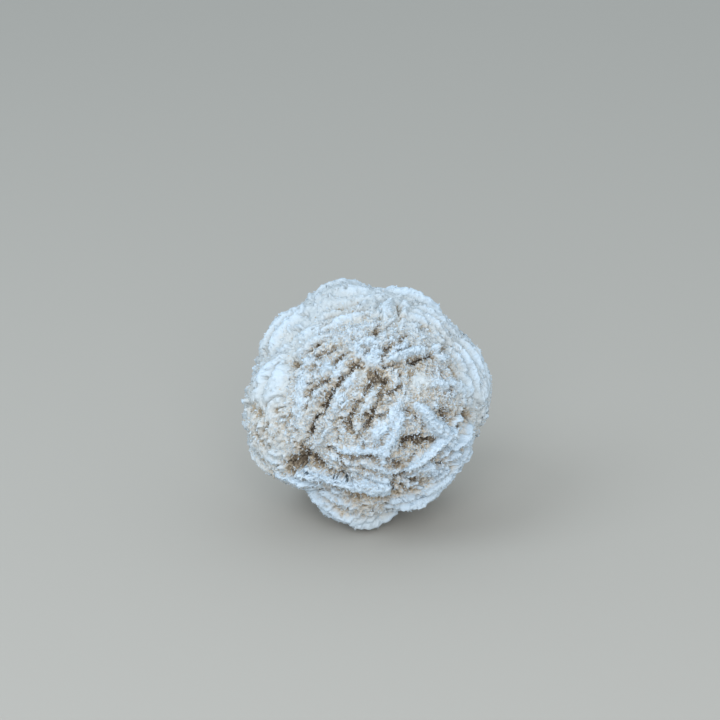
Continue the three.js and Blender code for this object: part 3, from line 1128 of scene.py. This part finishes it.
class SANDROSE_OT_crust(bpy.types.Operator):
    """Builds the crust of ridges and sandy hollows in six wedges round the ball"""
    bl_idname = "sandrose.crust"
    bl_label = "Crystal crust"

    def execute(self, context):
        settings = context.scene.sand_rose
        material = weathered_gypsum()
        blades = [blade for row in UPRIGHT_ROWS + BURIED_ROWS for blade in blades_of(row)]
        blades += small_blades(settings.small_blade_count, SMALL_BLADE_SEED)
        slits = small_furrows(settings.small_furrow_count, SLIT_SEED)
        east = direction_of(90, 0)
        front = direction_of(0, math.degrees(context.scene.rose_stage.elevation))
        top = np.cross(front, east)
        wedges = {
            "front": (front, east, settings.front_cells),
            "back": (-front, -east, settings.other_cells),
            "right": (east, -front, settings.other_cells),
            "left": (-east, front, settings.other_cells),
            "top": (top, east, settings.other_cells),
            "under": (-top, -east, settings.other_cells),
        }
        for name, (axis, side, cells) in wedges.items():
            points, faces, attributes = crust_wedge(axis, side, cells, blades, slits)
            add_mesh(f"crust_{name}", points, faces, attributes, material)
        return {"FINISHED"}


class SANDROSE_OT_plates(bpy.types.Operator):
    """Builds the thin plates: lens-shaped blades with free edges that stand clear of the crust"""
    bl_idname = "sandrose.plates"
    bl_label = "Thin plates"

    def execute(self, context):
        material = bpy.data.materials["weathered_gypsum"]
        quads = plate_faces()
        size = PLATE_AROUND * PLATE_ACROSS
        for group, rows in PLATE_ROWS.items():
            blades = [blade for row in rows for blade in blades_of(row)]
            points = np.concatenate([plate_surface(blade).reshape(-1, 3) for blade in blades])
            faces = np.concatenate([quads + number * size for number in range(len(blades))])
            away = np.linalg.norm(points, axis=1)
            directions = points / away[:, None]
            attributes = {
                "height": away - ground_reach(directions) - PLATE_SUNK,
                "sandy": sand_and_shade_share(directions),
                "smooth": spot_strength(directions, SMOOTH_SPOTS),
            }
            add_mesh(f"blades_{group}", points, faces, attributes, material)
        return {"FINISHED"}


class SANDROSE_OT_flakes(bpy.types.Operator):
    """Scatters small gypsum crystals over the crust, thickest in the sandy hollows"""
    bl_idname = "sandrose.flakes"
    bl_label = "Crystal flakes"

    def execute(self, context):
        settings = context.scene.sand_rose
        random = np.random.default_rng(FLAKE_SEED)
        crust = read_crust()
        count = settings.flake_count
        chance = (0.07 + crust.sandy) * (1.0 - 0.9 * crust.smooth)
        chance *= 1.0 - 0.25 * smooth_step(crust.height, 0.5, 1.4)
        chance *= 1.0 - 0.75 * smooth_step(-crust.height, 0.5, 1.5)
        picked = scatter(crust, chance, count, random)
        length = settings.flake_length / MM * random.uniform(*FLAKE_LENGTHS, count)
        width = length * random.uniform(*FLAKE_WIDTHS, count)
        thick = length * random.uniform(*FLAKE_THICKS, count)
        rise = length * random.uniform(*FLAKE_HEIGHTS, count)
        places = crust.points[picked] + crust.normals[picked] * rise[:, None]
        sizes = np.stack([length / 2, width, thick], axis=-1)
        shape, faces = flake_shape(5)
        points, triangles = copies(shape, faces, random_axes(count, random), sizes, places)
        crest = smooth_step(crust.height[picked], -0.2, 0.9)
        tone = np.clip(0.8 + 0.2 * crest + random.uniform(-0.45, 0.25, count), 0.1, 1.0)
        tones = np.repeat(tone, len(shape))
        half = count // 2
        middle = half * len(shape)
        material = fresh_gypsum()
        for letter, part in (("a", slice(0, middle)), ("b", slice(middle, None))):
            kept = triangles[:half * len(faces)]
            add_mesh(f"crystal_flakes_{letter}", points[part], kept, {"tone": tones[part]}, material, False)
        return {"FINISHED"}


class SANDROSE_OT_sand(bpy.types.Operator):
    """Lodges loose grains of sand in the hollows"""
    bl_idname = "sandrose.sand"
    bl_label = "Trapped sand"

    def execute(self, context):
        settings = context.scene.sand_rose
        random = np.random.default_rng(SAND_SEED)
        crust = read_crust()
        count = settings.sand_count
        chance = np.maximum(crust.sandy - 0.2, 0.0) * smooth_step(-crust.height, -0.7, 0.3)
        picked = scatter(crust, chance, count, random)
        width = settings.sand_width / MM * random.uniform(0.6, 1.4, count)
        sizes = width[:, None] / 2 * random.uniform(0.75, 1.15, (count, 3))
        places = crust.points[picked] + crust.normals[picked] * (width * 0.15)[:, None]
        shape, faces = grain_shape()
        points, triangles = copies(shape, faces, random_axes(count, random), sizes, places)
        tone = random.uniform(0.0, 1.0, count)
        add_mesh("sand_grains", points, triangles, {"tone": np.repeat(tone, len(shape))}, quartz_sand())
        return {"FINISHED"}


def aim(thing, place, target):
    """Puts a light or camera at a place, looking at a target with its top up."""
    thing.location = place
    thing.rotation_euler = (Vector(target) - Vector(place)).to_track_quat("-Z", "Y").to_euler()


def add_area_light(name, place, target, size, power, colour):
    """A round soft light that faces the target."""
    light = bpy.data.lights.new(name, "AREA")
    light.shape = "DISK"
    light.size = size
    light.energy = power
    light.color = linear(colour)[:3]
    lamp = bpy.data.objects.new(name, light)
    bpy.context.scene.collection.objects.link(lamp)
    aim(lamp, place, target)


class SANDROSE_OT_stage(bpy.types.Operator):
    """Sets a pale floor, soft studio light and the camera"""
    bl_idname = "sandrose.stage"
    bl_label = "Stage"

    def execute(self, context):
        stage = context.scene.rose_stage
        middle = Vector(BALL_MIDDLE * MM)
        corners = [(x * FLOOR_HALF, y * FLOOR_HALF, 0) for x, y in ((-1, -1), (1, -1), (1, 1), (-1, 1))]
        mesh = bpy.data.meshes.new("floor")
        mesh.from_pydata(corners, [], [(0, 1, 2, 3)])
        mesh.materials.append(pale_floor())
        floor = bpy.data.objects.new("floor", mesh)
        context.scene.collection.objects.link(floor)

        for name, (place, size, colour) in LIGHTS.items():
            add_area_light(name, place, middle, size, getattr(stage, f"{name}_power"), colour)
        world = bpy.data.worlds.new("studio")
        world.use_nodes = True
        background = world.node_tree.nodes["Background"]
        background.inputs["Color"].default_value = linear(SKY_COLOUR)
        background.inputs["Strength"].default_value = 1.0
        context.scene.world = world
        context.scene.view_settings.view_transform = "Standard"

        data = bpy.data.cameras.new("camera")
        data.lens = stage.lens
        data.sensor_width = SENSOR_WIDTH
        camera = bpy.data.objects.new("camera", data)
        context.scene.collection.objects.link(camera)
        back = Vector((0, -math.cos(stage.elevation), math.sin(stage.elevation)))
        above = Vector((0, math.sin(stage.elevation), math.cos(stage.elevation)))
        target = middle + above * AIM_ABOVE * MM - Vector((AIM_LEFT * MM, 0, 0))
        aim(camera, middle + back * stage.distance, target)
        context.scene.camera = camera
        return {"FINISHED"}


class SANDROSE_PT_panel(bpy.types.Panel):
    """The sand rose's settings and its steps, in the order they are run"""
    bl_label = "Sand Rose"
    bl_idname = "SANDROSE_PT_panel"
    bl_space_type = "VIEW_3D"
    bl_region_type = "UI"
    bl_category = "Sand Rose"

    def draw(self, context):
        for settings in (context.scene.sand_rose, context.scene.rose_stage):
            for key in settings.__annotations__:
                self.layout.prop(settings, key)
        for operator in OPERATORS:
            self.layout.operator(operator.bl_idname)


OPERATORS = (
    SANDROSE_OT_stage,
    SANDROSE_OT_crust,
    SANDROSE_OT_plates,
    SANDROSE_OT_flakes,
    SANDROSE_OT_sand,
)
CLASSES = (SandRoseSettings, RoseStageSettings, *OPERATORS, SANDROSE_PT_panel)


def register():
    """Adds the settings, operators and panel to Blender."""
    for item in CLASSES:
        bpy.utils.register_class(item)
    bpy.types.Scene.sand_rose = PointerProperty(type=SandRoseSettings)
    bpy.types.Scene.rose_stage = PointerProperty(type=RoseStageSettings)


def unregister():
    """Takes them away again."""
    del bpy.types.Scene.rose_stage
    del bpy.types.Scene.sand_rose
    for item in reversed(CLASSES):
        bpy.utils.unregister_class(item)


def main():
    """Builds the stage and the rose."""
    register()
    bpy.ops.sandrose.stage()
    bpy.ops.sandrose.crust()
    bpy.ops.sandrose.plates()
    bpy.ops.sandrose.flakes()
    bpy.ops.sandrose.sand()


if __name__ == "__main__":
    main()
